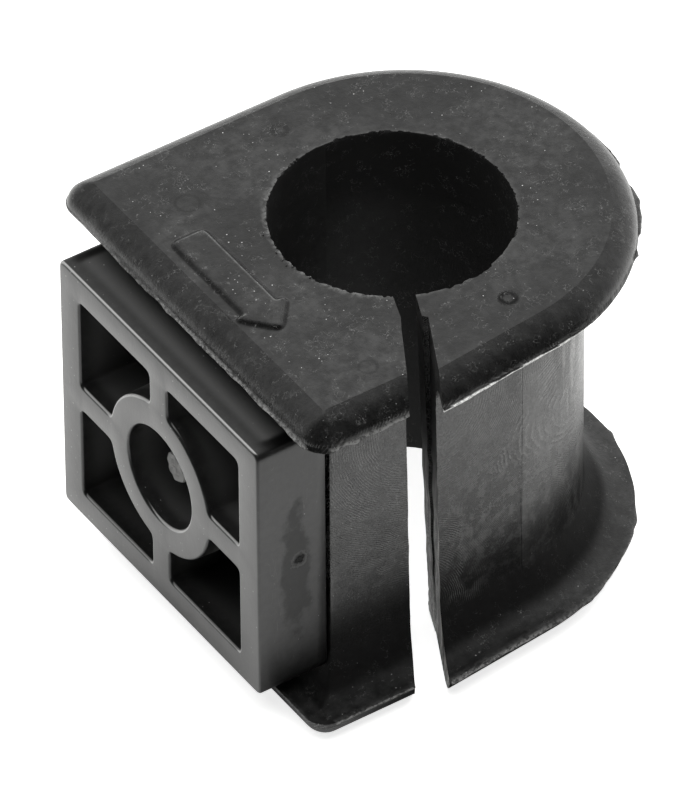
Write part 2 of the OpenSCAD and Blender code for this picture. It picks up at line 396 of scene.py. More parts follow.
def smooth_loop(corners, count, blur):
    """A closed outline resampled to evenly spaced points, its corners rounded by a Gaussian blur in mm."""
    closed = np.concatenate([corners, corners[:1]])
    run = np.concatenate([[0], np.cumsum(np.linalg.norm(np.diff(closed, axis=0), axis=1))])
    at = np.linspace(0, run[-1], count, endpoint=False)
    even = np.stack([np.interp(at, run, closed[:, k]) for k in (0, 1)], 1)
    wave = np.fft.fftfreq(count, run[-1] / count)
    fade = np.exp(-2 * (math.pi * wave * blur) ** 2)
    return np.real(np.fft.ifft(np.fft.fft(even, axis=0) * fade[:, None], axis=0))


def outset(loop, distance):
    """An anticlockwise outline moved outwards by a distance."""
    along = np.roll(loop, -1, 0) - np.roll(loop, 1, 0)
    normal = np.stack([along[:, 1], -along[:, 0]], 1)
    return loop + distance * normal / np.linalg.norm(normal, axis=1)[:, None]


def circle_loop(radius, count):
    """Evenly spaced points round a circle."""
    a = np.linspace(0, 2 * math.pi, count, endpoint=False)
    return radius * np.stack([np.cos(a), np.sin(a)], 1)


def inside_loops(points, loops):
    """Whether each point is inside an odd number of the outlines, by counting the edges to its right."""
    odd = np.zeros(len(points), bool)
    for loop in loops:
        x0, y0 = loop[:, 0][None], loop[:, 1][None]
        x1, y1 = np.roll(loop[:, 0], -1)[None], np.roll(loop[:, 1], -1)[None]
        px, py = points[:, :1], points[:, 1:]
        spans = (y0 > py) != (y1 > py)
        cross = x0 + (py - y0) * (x1 - x0) / np.where(y1 == y0, 1e-9, y1 - y0)
        odd ^= (np.sum(spans & (px < cross), 1) % 2).astype(bool)
    return odd


def cap_part(loops, place):
    """Triangles over the region inside the first outline and outside the others. place turns plan points
    into points in space."""
    points = np.concatenate(loops)
    edges, start = [], 0
    for loop in loops:
        edges += [(start + k, start + (k + 1) % len(loop)) for k in range(len(loop))]
        start += len(loop)
    made = delaunay_2d_cdt([Vector(p) for p in points], edges, [], 0, 1e-7)
    flat, faces = np.array(made[0])[:, :2], np.array(made[2])
    return place(flat), faces[inside_loops(flat[faces].mean(1), loops)]


# The raised arrow

ARROW_X = 18.1
ARROW_L = 15.7
ARROW_W = 3.3
ARROW_HEAD_W = 5.3
ARROW_HEAD_L = 3.2
ARROW_FOOT = 0.75
ARROW_ROOT = 0.3


def arrow_parts():
    """A closed island on the upper end face: rings from its foot, in by a hollow fillet, up and round to the
    top. Each level is a distance outside the arrow's outline and a height over the face."""
    tail, neck = ARROW_L / 2, ARROW_HEAD_L - ARROW_L / 2
    half, wide = ARROW_W / 2, ARROW_HEAD_W / 2
    corners = np.array([(0, -tail), (wide, neck), (half, neck), (half, tail), (-half, tail), (-half, neck),
                        (-wide, neck)])
    levels = [(ARROW_FOOT, -ARROW_ROOT), (ARROW_FOOT, 0.0), (0.58, 0.015), (0.42, 0.06), (0.27, 0.14),
              (0.13, 0.245), (0.0, 0.335), (-0.13, 0.383), (-0.3, ARROW_H)]
    rings = []
    for distance, rise in levels:
        loop = outset(smooth_loop(corners, 360, 0.26 + 0.4 * max(distance, 0)), distance)
        rings.append(np.stack([loop[:, 0] - ARROW_X, loop[:, 1], np.full(360, BUSH_L + rise)], 1))

    def at(height):
        return lambda flat: np.stack([flat[:, 0], flat[:, 1], np.full(len(flat), height)], 1)

    rings = np.stack(rings)
    return [ring_part(rings), cap_part([rings[-1][:, :2]], at(BUSH_L + ARROW_H)),
            cap_part([rings[0][:, :2]], at(BUSH_L - ARROW_ROOT))]


def crumb_part(place, size, seed):
    """A crumb of torn rubber: a small ball with a lumpy radius, closed at its poles."""
    rng = np.random.default_rng(seed)
    up, turn = np.meshgrid(np.linspace(0, math.pi, 8), np.linspace(0, 2 * math.pi, 11)[:-1], indexing="ij")
    lump = 1 + 0.35 * np.sin(2 * turn + rng.uniform(0, 6)) * np.sin(up)
    lump = lump + 0.25 * np.cos(3 * up + rng.uniform(0, 6)) * np.sin(up)
    ball = np.stack([np.sin(up) * np.cos(turn), np.sin(up) * np.sin(turn), np.cos(up)], -1) * lump[..., None]
    return ring_part(ball * size * rng.uniform(0.6, 1.3, 3) + np.asarray(place))


# Crumbs at the bore's rim: place in plan and size, in mm
CRUMBS = [(-12.5, 0.2, 0.15), (-12.25, -1.2, 0.12), (-12.35, 1.4, 0.1), (-11.7, -3.4, 0.13),
          (-12.6, -0.7, 0.1), (-12.0, 4.2, 0.1)]


def make_bush():
    """The bush with its arrow and crumbs, and how torn it is at each point, with a painted highlight marked
    on the lower edge of the free jaw's upper flash.
    """
    crumbs = [crumb_part((x, y, BUSH_L + 0.3 * r), r, SEED + k) for k, (x, y, r) in enumerate(CRUMBS)]
    bush = mesh_object("rubber_moulding", bush_parts() + arrow_parts() + crumbs, RUBBER_SHARP_DEG)
    torn_and_lit = bush.data.attributes.new("torn_and_lit", "FLOAT", "POINT")
    co = np.empty(len(bush.data.vertices) * 3, np.float32)
    bush.data.vertices.foreach_get("co", co)
    torn_and_lit.data.foreach_set("value", torn_and_lit_share(co.reshape(-1, 3) / MM).astype(np.float32))
    return bush


def torn_and_lit_share(points):
    """How pale and torn the rubber is: up to 1 on the flash, the crumbs and the bore's left rim. The lower
    edge of the free jaw's upper flash gets up to 2, which marks a painted highlight there. It is 0 elsewhere."""
    x, y, z = points.T
    edge = np.minimum(z, BUSH_L - z)
    along = np.maximum(np.abs(y), np.hypot(x - ROUND_X, y) * (x > ROUND_X))
    jaw = (y < 0) & (x > -11) & (x < 11)
    along = np.where(jaw & (x < ROUND_X + 2), (x - ROUND_X) * JAW_OUT[0] - y * -JAW_OUT[1], along)
    over = np.maximum(along - (BODY_R + SIDE_LIP), -x - (SEAT_X + BLOCK_LIP))
    flash = np.clip(over / 0.1 + 0.2, 0, 1) * (np.abs(edge - SHOULDER_H - FLASH_T / 2) < 1.2)
    flash *= np.interp(x, [ROUND_X, ROUND_X + 5], [0.8, 0.3])
    # Painted highlight: the lower edge of the free jaw's upper flash
    lit = (z < BUSH_L - SHOULDER_H - 0.1) * (over > 0.01) * np.interp(x, [7, 11], [2, 0.3])
    flash = np.where(jaw & (z > BUSH_L - 4), lit, flash)
    from_axis = np.hypot(x, y)
    rim = np.clip(1 - (from_axis - BAR_R - 0.02) / 0.3, 0, 1) * (edge < 0.02)
    rim = rim * np.interp(x, [-9, -2], [0.4, 0.12])
    crumb = 0.6 * (z > BUSH_L + 0.01) * (from_axis < BAR_R + 3) * (from_axis > BAR_R - 0.2)
    return np.maximum(np.maximum(flash, rim), crumb)


# The plastic block

EDGE_R = 0.32
POCKET_EDGE_R = 0.28
WALL_SIDE, WALL_END, RIB_T = 3.4, 3.1, 3.0
RING_R, HOLE_R = 8.6, 5.5
POCKET_DEPTH, HOLE_DEPTH = 9.2, 8.4
SHOULDER_DEPTH = BLOCK_FRONT_X - 19.2
GATE_R, GATE_BACK, GATE_LIFT = 1.65, 1.75, 0.35
PLASTIC_SHARP_DEG = 50

# The gate's stub from the hole's floor to its tip: roughness, depth behind the front face, share of GATE_R
GATE_LEVELS = [(0, HOLE_DEPTH - 0.3, 1.04), (0, 5.0, 1.0), (0, 2.6, 0.98), (0.5, 2.1, 0.97), (1, 1.95, 0.9),
               (1, 1.86, 0.75), (1, 1.95, 0.55), (1, 1.8, 0.35), (1, 1.9, 0.15), (0, 1.88, 0.0)]


def behind_front(loop, depth):
    """Outline points at a depth behind the block's front face. They are drawn with Y across and Z up, and
    seen from the front that is clockwise, which the mesh's recalculated normals put right."""
    depth = np.broadcast_to(depth, loop.shape[:1])
    return np.stack([depth - BLOCK_FRONT_X, loop[:, 0], loop[:, 1] + MID_Z], 1)


def loft(loop, levels):
    """Rings from an outline moved outwards and backwards by each (distance, depth)."""
    return ring_part(np.stack([behind_front(outset(loop, d), depth) for d, depth in levels]))


def pocket_loop(sy, sz):
    """One pocket: a quarter of the frame's inside less the ring, with its corners rounded."""
    y0, z0 = RIB_T / 2, RIB_T / 2
    y1, z1 = BLOCK_W / 2 - WALL_SIDE, BLOCK_H / 2 - WALL_END
    a0, a1 = math.asin(z0 / RING_R), math.acos(y0 / RING_R)
    turn = np.linspace(a1, a0, 60)
    ring = RING_R * np.stack([np.cos(turn), np.sin(turn)], 1)
    corners = np.concatenate([ring, [(y1, z0)], [(y1, z1)], [(y0, z1)]])
    corners = corners * (sy, sz)
    if sy * sz < 0:
        corners = corners[::-1]
    return smooth_loop(corners, 260, 0.42)


def rounded_mouth(edge_r):
    """Levels of a hole's rounded mouth, from the front face in."""
    turn = quarter_turn(5)
    return [(edge_r * (1 - math.sin(t)), edge_r * (1 - math.cos(t))) for t in turn]


def blind_hole(loop, depth, edge_r, draft, fillet):
    """A mouth, a wall that closes in by its draft, and a fillet round the floor."""
    turn = quarter_turn(5)
    wall = [(-draft * d / depth, d) for d in np.linspace(edge_r, depth - fillet, 6)[1:]]
    foot = [(-draft - fillet * (1 - math.cos(t)), depth - fillet * (1 - math.sin(t))) for t in turn[1:]]
    return rounded_mouth(edge_r) + wall + foot


def block_parts():
    """A rounded rectangle lofted back over the front edge and the sides, with the shoulder and the spigot
    behind. The front face has four pockets and a round hole, each with a mouth, a wall and a floor."""
    half_w, half_h = BLOCK_W / 2, BLOCK_H / 2
    corners = np.array([(-half_w, -half_h), (half_w, -half_h), (half_w, half_h), (-half_w, half_h)])
    outer = smooth_loop(corners, 640, 0.5)
    outer *= (BLOCK_W, BLOCK_H) / np.ptp(outer, axis=0)
    spigot = smooth_loop(corners - np.sign(corners) * SPIGOT_STEP, 640, 0.6)
    turn = quarter_turn(6)
    front_edge = [(-EDGE_R * (1 - math.sin(t)), EDGE_R * (1 - math.cos(t))) for t in turn]
    sides = [(0, d) for d in np.linspace(EDGE_R, SHOULDER_DEPTH - 0.15, 8)[1:]] + [(-0.15, SHOULDER_DEPTH)]
    back_depth = BLOCK_FRONT_X - BLOCK_BACK_X
    stem = np.stack([behind_front(outset(outer, -0.15), SHOULDER_DEPTH), behind_front(spigot, SHOULDER_DEPTH),
                     behind_front(spigot, back_depth)])
    pockets = [pocket_loop(sy, sz) for sy in (-1, 1) for sz in (-1, 1)]
    hole = circle_loop(HOLE_R, 160)
    mouths = [outset(p, POCKET_EDGE_R) for p in pockets] + [outset(hole, POCKET_EDGE_R)]
    parts = [loft(outer, front_edge + sides), ring_part(stem),
             cap_part([spigot], lambda f: behind_front(f, back_depth)),
             cap_part([outset(outer, -EDGE_R)] + mouths, lambda f: behind_front(f, 0.0))]
    for pocket in pockets:
        levels = blind_hole(pocket, POCKET_DEPTH, POCKET_EDGE_R, 0.25, 0.5)
        parts.append(loft(pocket, levels))
        parts.append(cap_part([outset(pocket, levels[-1][0])], lambda f: behind_front(f, POCKET_DEPTH)))
    levels = blind_hole(hole, HOLE_DEPTH, POCKET_EDGE_R, 0.15, 0.4)
    parts.append(loft(hole, levels))
    foot = circle_loop(GATE_R * 1.12, 72) + (0, GATE_LIFT)
    parts.append(cap_part([outset(hole, levels[-1][0]), foot], lambda f: behind_front(f, HOLE_DEPTH)))
    parts.append(gate_part(foot))
    return parts


def gate_part(foot):
    """The gate's stub: a tapered stem from the hole's floor to a rough broken tip."""
    turn = np.linspace(0, 2 * math.pi, 72, endpoint=False)
    rough = 1 + 0.05 * np.sin(3 * turn + 1) + 0.03 * np.sin(7 * turn) + 0.02 * np.sin(13 * turn + 2)
    rings = [behind_front(foot, HOLE_DEPTH)]
    for share, depth, size in GATE_LEVELS:
        loop = circle_loop(GATE_R * size, 72) * (1 + share * (rough - 1))[:, None] + (0, GATE_LIFT)
        lump = share * 0.07 * np.sin(2 * turn + 9 * size) + share * 0.05 * np.sin(5 * turn + 20 * size)
        rings.append(behind_front(loop, depth + lump))
    return ring_part(np.stack(rings))


# Camera: fitted to the photograph's straight edges, bore and flanges, 1.2 m away. AWAY is level, and points
# from the camera to the object.

PHOTO_H = 800
CAMERA_TURN = math.radians(-33.676)
CAMERA_ELEVATION = math.radians(41.715)
CAMERA_ROLL = math.radians(-0.346)
CAMERA_DISTANCE = 1.2001
CAMERA_FOCAL_PX = 12434.0
CAMERA_TARGET = Vector((-5.411, -0.582, 20.0)) * MM
SENSOR = 36.0
AWAY = (-math.sin(CAMERA_TURN), math.cos(CAMERA_TURN), 0.0)


def make_camera():
    """The camera looks along the level direction AWAY, tipped down by its elevation and rolled a little."""
    data = bpy.data.cameras.new("camera")
    data.sensor_width = SENSOR
    data.lens = CAMERA_FOCAL_PX * SENSOR / PHOTO_H
    data.clip_start, data.clip_end = 0.05, 20
    cam = link(bpy.data.objects.new("camera", data))
    right = Vector((math.cos(CAMERA_TURN), math.sin(CAMERA_TURN), 0))
    forward = math.cos(CAMERA_ELEVATION) * Vector(AWAY) - math.sin(CAMERA_ELEVATION) * Vector((0, 0, 1))
    up = right.cross(forward)
    r2 = math.cos(CAMERA_ROLL) * right + math.sin(CAMERA_ROLL) * up
    u2 = -math.sin(CAMERA_ROLL) * right + math.cos(CAMERA_ROLL) * up
    turn = Matrix((r2, u2, -forward)).transposed()
    cam.matrix_world = Matrix.Translation(CAMERA_TARGET - CAMERA_DISTANCE * forward) @ turn.to_4x4()
    bpy.context.scene.camera = cam


# Shader nodes

def node(tree, kind, inputs=None, **settings):
    """A shader node with its settings. An input is a constant, or a socket that is linked to it."""
    made = tree.nodes.new("ShaderNode" + kind)
    for key, value in settings.items():
        setattr(made, key, value)
    for key, value in (inputs or {}).items():
        if isinstance(value, bpy.types.NodeSocket):
            tree.links.new(value, made.inputs[key])
        else:
            made.inputs[key].default_value = value
    return made


def maths(tree, operation, a, b=0.0):
    """Maths on numbers or values."""
    return node(tree, "Math", {0: a, 1: b}, operation=operation).outputs[0]


def ramp(tree, value, low, high, at_low=0.0, at_high=1.0):
    """A smooth step from one value to another as the input goes from low to high."""
    inputs = {"Value": value, "From Min": low, "From Max": high, "To Min": at_low, "To Max": at_high}
    return node(tree, "MapRange", inputs, interpolation_type="SMOOTHSTEP").outputs["Result"]


def blend(tree, factor, a, b):
    """A mix of two colours."""
    return node(tree, "Mix", {0: factor, 6: a, 7: b}, data_type="RGBA").outputs[2]


def vector_maths(tree, operation, a, b=(0.0, 0.0, 0.0)):
    """Maths on vectors. A length, distance or dot product is a number, and the rest are vectors."""
    made = node(tree, "VectorMath", {0: a, 1: b}, operation=operation)
    return made.outputs["Value" if operation in ("LENGTH", "DISTANCE", "DOT_PRODUCT") else "Vector"]


def noise(tree, position, scale, detail, roughness=0.55):
    inputs = {"Vector": position, "Scale": scale, "Detail": detail, "Roughness": roughness}
    return node(tree, "TexNoise", inputs).outputs["Fac"]


def grey(value):
    """A grey a little warmer than neutral."""
    return (value, value, value * 0.985, 1)


def new_group(name, inputs, outputs):
    """A node group with named sockets. Each entry is a socket's name, type and starting value."""
    tree = bpy.data.node_groups.new(name, "ShaderNodeTree")
    for label, kind, value in inputs:
        socket = tree.interface.new_socket(label, in_out="INPUT", socket_type="NodeSocket" + kind)
        if value is not None:
            socket.default_value = value
    for label, kind in outputs:
        tree.interface.new_socket(label, in_out="OUTPUT", socket_type="NodeSocket" + kind)
    return tree, tree.nodes.new("NodeGroupInput"), tree.nodes.new("NodeGroupOutput")


def make_dust_group():
    """Pale specks: small balls at random places in a lattice of cells, cut by the surface."""
    inputs = [("Position", "Vector", None), ("Cells per mm", "Float", 1.0), ("Size", "Float", 0.1)]
    tree, given, out = new_group("dust_specks", inputs, [("Mask", "Float")])
    cells = node(tree, "TexVoronoi", {"Vector": given.outputs[0], "Scale": given.outputs[1]})
    pick = node(tree, "SeparateColor", {"Color": cells.outputs["Color"]})
    size = times(tree, ramp(tree, pick.outputs[0], 0.35, 1.0), given.outputs[2])
    inner = maths(tree, "DIVIDE", cells.outputs["Distance"], maths(tree, "ADD", size, 0.0001))
    patches = ramp(tree, noise(tree, given.outputs[0], 0.25, 1.0), 0.45, 0.62)
    tree.links.new(times(tree, ramp(tree, inner, 1.0, 0.55), patches), out.inputs[0])
    return tree


def make_hairline_group():
    """Fine wandering lines, where a noise crosses its middle value, in patches."""
    inputs = [("Position", "Vector", None), ("Scale", "Float", 0.4), ("Width", "Float", 0.006)]
    tree, given, out = new_group("hairlines", inputs, [("Mask", "Float")])
    field = noise(tree, given.outputs[0], given.outputs[1], 2.0, 0.6)
    off = maths(tree, "ABSOLUTE", maths(tree, "SUBTRACT", field, 0.5))
    line = ramp(tree, maths(tree, "DIVIDE", off, given.outputs[2]), 1.0, 0.2)
    patches = ramp(tree, noise(tree, given.outputs[0], 0.7, 1.0), 0.52, 0.62)
    tree.links.new(times(tree, line, patches), out.inputs[0])
    return tree


def make_cutter_group():
    """Close arcs round scattered centres, in patches: the marks that a turning cutter leaves."""
    inputs = [("Position", "Vector", None), ("Cells per mm", "Float", 0.1), ("Rings per cell", "Float", 40.0)]
    tree, given, out = new_group("cutter_marks", inputs, [("Height", "Float"), ("Mask", "Float")])
    cells = node(tree, "TexVoronoi", {"Vector": given.outputs[0], "Scale": given.outputs[1]})
    wave = maths(tree, "SINE", times(tree, cells.outputs["Distance"], given.outputs[2], 2 * math.pi))
    patches = ramp(tree, noise(tree, given.outputs[0], 0.5, 2.0, 0.6), 0.35, 0.6)
    patches = times(tree, patches, ramp(tree, cells.outputs["Distance"], 0.3, 0.45))
    tree.links.new(times(tree, wave, patches), out.inputs[0])
    tree.links.new(times(tree, ramp(tree, wave, 0.3, 1.0), patches), out.inputs[1])
    return tree


def make_ring_group():
    """A ring round a centre: the witness mark of an ejector pin."""
    inputs = [("Position", "Vector", None), ("Centre", "Vector", None), ("Radius", "Float", 1.0),
              ("Width", "Float", 0.1)]
    tree, given, out = new_group("ring_mark", inputs, [("Mask", "Float")])
    far = vector_maths(tree, "DISTANCE", given.outputs[0], given.outputs[1])
    off = maths(tree, "ABSOLUTE", maths(tree, "SUBTRACT", far, given.outputs[2]))
    tree.links.new(ramp(tree, maths(tree, "DIVIDE", off, given.outputs[3]), 1.0, 0.2), out.inputs[0])
    return tree


def grouped(tree, group, inputs):
    """A node group placed in a material. Its settings come before its inputs, so that these exist."""
    return node(tree, "Group", inputs, node_tree=group)


def total(tree, *terms):
    """The sum of numbers and values. A tuple stands for the product of what is in it."""
    terms = [times(tree, *term) if isinstance(term, tuple) else term for term in terms]
    result = terms[0]
    for term in terms[1:]:
        result = maths(tree, "ADD", result, term)
    return result


def times(tree, value, *factors):
    """A value times numbers or other values, in turn."""
    for factor in factors:
        value = maths(tree, "MULTIPLY", value, factor)
    return value


def dot(tree, vector, direction):
    """How far a vector goes in a direction."""
    return vector_maths(tree, "DOT_PRODUCT", vector, direction)


def stretched(tree, position, along_z):
    """The position with Z scaled, which stretches a texture up and down."""
    return node(tree, "Mapping", {"Vector": position, "Scale": (1.0, 1.0, along_z)}).outputs[0]


def new_material(name):
    """A material with its shader and the object's own position in millimetres."""
    material = bpy.data.materials.new(name)
    material.use_nodes = True
    tree = material.node_tree
    here = node(tree, "TexCoord").outputs["Object"]
    position = node(tree, "VectorMath", {0: here, 3: 1 / MM}, operation="SCALE").outputs[0]
    return material, tree, tree.nodes["Principled BSDF"], position


# Pin marks on the upper end face: centre, radius and width of the line, and how dark it is
PIN_MARKS = [((2.2, -16.4), 0.75, 0.45, 1.0), ((-2.1, 16.2), 0.7, 0.5, 0.5), ((-15.4, 12.2), 1.2, 0.25, 0.3),
             ((-14.3, -17.1), 0.9, 0.2, 0.35)]


def make_rubber(groups):
    """Moulded black rubber: mottled and dusty, paler where it is torn, with scuffs and the mould's cutter
    marks on its sides, drips under the upper flange, blade marks in the split, and pin marks on its upper
    end.
    Painted shade darkens the foot on the side towards the camera, a band round the arrow's foot, and the
    upper part of the cut faces. Painted highlights lie along the arrow's crest and the lower edge of the
    free jaw's upper flash."""
    material, tree, shader, position = new_material("black_rubber")
    place = node(tree, "SeparateXYZ", {0: position})
    normal = node(tree, "NewGeometry").outputs["Normal"]
    steep = maths(tree, "ABSOLUTE", node(tree, "SeparateXYZ", {0: normal}).outputs[2])
    flat_end = ramp(tree, steep, 0.93, 0.995)
    upright = ramp(tree, steep, 0.35, 0.1)
    torn_and_lit = node(tree, "Attribute", attribute_name="torn_and_lit").outputs["Fac"]
    clouds = noise(tree, position, 0.13, 2.0)
    mottle = noise(tree, position, 0.8, 5.0, 0.7)
    grain = noise(tree, position, 6.0, 1.0)
    warped = vector_maths(tree, "ADD", position, times(tree, grain, 0.5))
    blade = noise(tree, stretched(tree, position, 0.05), 3.2, 2.0, 0.7)
    streaks = noise(tree, stretched(tree, position, 0.12), 1.1, 3.0, 0.65)
    dust = grouped(tree, groups["dust"], {"Position": position, "Cells per mm": 1.9, "Size": 0.17}).outputs[0]
    lint = grouped(tree, groups["hairlines"], {"Position": position, "Scale": 1.5, "Width": 0.012}).outputs[0]
    wavy = vector_maths(tree, "ADD", position, times(tree, mottle, 0.3))
    arcs = grouped(tree, groups["cutter"], {"Position": wavy, "Cells per mm": 0.048, "Rings per cell": 96.0})

    # Where each kind of mark is
    in_plan = vector_maths(tree, "MULTIPLY", position, (1.0, 1.0, 0.0))
    from_axis = vector_maths(tree, "LENGTH", in_plan)
    height = place.outputs[2]
    in_bore = times(tree, ramp(tree, from_axis, BAR_R + 0.3, BAR_R + 0.1), upright)
    beside_split = maths(tree, "ABSOLUTE", dot(tree, position, (*SPLIT_ACROSS, 0.0)))
    across = maths(tree, "ABSOLUTE", dot(tree, normal, (*SPLIT_ACROSS, 0.0)))
    cut = times(tree, ramp(tree, across, 0.8, 0.92), ramp(tree, beside_split, 3.8, 3.5),
                ramp(tree, dot(tree, position, (*SPLIT_OUT, 0.0)), BAR_R - 0.4, BAR_R))
    near_side = times(tree, upright, ramp(tree, place.outputs[1], -8.0, -14.0))
    past_jaw = dot(tree, position, (-JAW_OUT[1], JAW_OUT[0], 0.0))
    past_jaw = maths(tree, "SUBTRACT", past_jaw, -JAW_OUT[1] * ROUND_X)
    crease = times(tree, ramp(tree, maths(tree, "ABSOLUTE", past_jaw), 0.13, 0.04), near_side)
    rounded = times(tree, ramp(tree, past_jaw, 0.0, 0.25), upright)
    in_front = times(tree, rounded, ramp(tree, place.outputs[1], -6.0, -9.5))
    drips = times(tree, ramp(tree, streaks, 0.5, 0.6), ramp(tree, height, 18.0, 26.0), in_front,
                  ramp(tree, past_jaw, 4.0, 8.0))
    runs = times(tree, ramp(tree, streaks, 0.5, 0.42), ramp(tree, height, 24.0, 31.0), in_front,
                 ramp(tree, past_jaw, 2.5, 4.0))
    scuffs = times(tree, ramp(tree, mottle, 0.49, 0.6), ramp(tree, past_jaw, -10.0, -9.0), near_side,
                   ramp(tree, height, 27.0, 15.0))
    pins = []
    for centre, radius, width, share in PIN_MARKS:
        # The noise shifts the ring by 0.25 mm on average, so its centre is moved as far
        inputs = {"Position": warped, "Centre": (centre[0] + 0.25, centre[1] + 0.25, BUSH_L + 0.25),
                  "Radius": radius, "Width": width}
        pins.append(times(tree, grouped(tree, groups["rings"], inputs).outputs[0], share))
    pins = times(tree, total(tree, *pins), ramp(tree, mottle, 0.3, 0.55, 0.4, 1.0))
    outwards = vector_maths(tree, "NORMALIZE", in_plan)
    # Painted shade: on the side towards the camera the foot is painted dark from 16 mm down to the lower
    # flange, except on the cut faces. The same mask makes it rougher and dims its specular level and its
    # small marks
    foot_shade = times(tree, ramp(tree, dot(tree, outwards, AWAY), 0.8, 0.1), ramp(tree, height, 16.0, 7.0),
                       ramp(tree, height, FLANGE_T + 0.02, 4.0, 0.12, 1.0), ramp(tree, cut, 1.0, 0.0))
    outside_foot_shade = ramp(tree, foot_shade, 1.0, 0.0, 0.27, 1.0)
    rise = maths(tree, "SUBTRACT", height, BUSH_L)
    away = dot(tree, normal, AWAY)
    # Painted highlight along the arrow's crest, stronger where it turns away from the camera
    crest_highlight = times(tree, ramp(tree, rise, 0.25, 0.34), ramp(tree, rise, ARROW_H - 0.002, ARROW_H - 0.03),
                  ramp(tree, away, -0.05, 0.3, 0.1, 1.0))
    # Painted shade: a dark band round the foot of the raised arrow
    foot = times(tree, ramp(tree, rise, 0.0, 0.04), ramp(tree, rise, 0.3, 0.15))

    # Colour
    worn = times(tree, ramp(tree, mottle, 0.35, 0.68), ramp(tree, clouds, 0.35, 0.65, 0.2, 1.0))
    ends = blend(tree, worn, grey(0.01), grey(0.028))
    sides = blend(tree, ramp(tree, streaks, 0.3, 0.75), grey(0.004), grey(0.012))
    fading = times(tree, rounded, ramp(tree, past_jaw, 9.0, 0.0, 0.1, 1.0))
    hazy = blend(tree, ramp(tree, streaks, 0.35, 0.7), grey(0.02), grey(0.055))
    sides = blend(tree, fading, sides, hazy)
    base = blend(tree, flat_end, sides, ends)
    base = blend(tree, pins, base, grey(0.002))
    # The crease's dark line, and painted shade round the arrow's foot
    base = blend(tree, maths(tree, "MAXIMUM", crease, times(tree, foot, 0.7)), base, grey(0.002))
    # Painted highlight on the arrow's crest
    base = blend(tree, times(tree, crest_highlight, ramp(tree, mottle, 0.35, 0.6, 0.2, 0.9)), base, grey(0.1))
    base = blend(tree, times(tree, drips, 0.8), base, grey(0.2))
    base = blend(tree, times(tree, runs, 0.9), base, grey(0.006))
    sawn_and_shaded = blend(tree, ramp(tree, blade, 0.35, 0.65), grey(0.08), grey(0.8))
    # Painted shade: the cut faces turn dark towards their upper part, over the pale blade marks
    sawn_and_shaded = blend(tree, ramp(tree, height, 14.0, 26.0), sawn_and_shaded, grey(0.012))
    base = blend(tree, cut, base, sawn_and_shaded)
    base = blend(tree, in_bore, base, grey(0.018))
    # Painted shade at the foot, on the side towards the camera
    base = blend(tree, times(tree, foot_shade, 0.8), base, grey(0.004))
    base = blend(tree, times(tree, scuffs, outside_foot_shade, 0.5), base, grey(0.09))
    base = blend(tree, times(tree, arcs.outputs["Mask"], near_side, 0.8), base, grey(0.11))
    base = blend(tree, times(tree, lint, outside_foot_shade, 0.3), base, grey(0.3))
    dust = times(tree, dust, outside_foot_shade, ramp(tree, in_bore, 1.0, 0.0), ramp(tree, flat_end, 0.0, 1.0, 0.5, 0.9))
    base = blend(tree, dust, base, grey(0.45))
    ragged = ramp(tree, noise(tree, position, 2.2, 3.0, 0.75), 0.38, 0.6)
    pale = times(tree, torn_and_lit, ramp(tree, ragged, 0.0, 1.0, 0.15, 1.0))
    base = blend(tree, node(tree, "Clamp", {0: pale}).outputs[0], base, grey(0.26))
    # Painted highlight: the lower edge of the free jaw's upper flash is painted near white
    lit = times(tree, ramp(tree, torn_and_lit, 1.1, 1.6), ramp(tree, ragged, 0.0, 1.0, 0.5, 1.0))
    base = blend(tree, lit, base, grey(0.9))
    tree.links.new(base, shader.inputs["Base Color"])

    # Polish and relief
    rough = total(tree, 0.15, (mottle, 0.24), (torn_and_lit, 0.2), (flat_end, 0.06), (cut, 0.3), (in_bore, 0.3),
                  (foot_shade, 0.4))
    tree.links.new(rough, shader.inputs["Roughness"])
    level = total(tree, 0.08, (flat_end, 0.13), (clouds, 0.3), (in_bore, -0.1),
                  (mottle, ramp(tree, flat_end, 0.0, 1.0, 0.56, 0.3)), (foot, -0.25), (pins, -0.35),
                  (fading, 0.12), (runs, -0.15), (near_side, ramp(tree, grain, 0.3, 0.7, -0.12, 0.12)))
    under_flange = times(tree, rounded, ramp(tree, height, 28.0, 37.0))
    far_rim = times(tree, ramp(tree, away, 0.1, 0.4), ramp(tree, rise, -2.6, -2.4))
    level = times(tree, level, outside_foot_shade, ramp(tree, under_flange, 0.0, 1.0, 1.0, 0.25),
                  ramp(tree, times(tree, rounded, past_jaw), 1.0, 9.0, 1.0, 0.4),
                  ramp(tree, far_rim, 0.0, 1.0, 1.0, 0.3))
    tree.links.new(level, shader.inputs["Specular IOR Level"])
    relief = total(tree, (grain, 0.012), (mottle, 0.07), (crease, -0.06),
                   (arcs.outputs["Height"], near_side, 0.007))
    bump = node(tree, "Bump", {"Height": relief, "Distance": MM, "Strength": 0.8})
    tree.links.new(bump.outputs[0], shader.inputs["Normal"])
    return material


# On the block's side: where an ejector pin marked it, and the middle and the scale of a greasy smear
PIN_ON_SIDE = (-22.3, -17.1, 20.4)
SMEAR = (-22.7, -17.1, 19.0)
SMEAR_SCALE = (0.6, 0.26, 0.12)


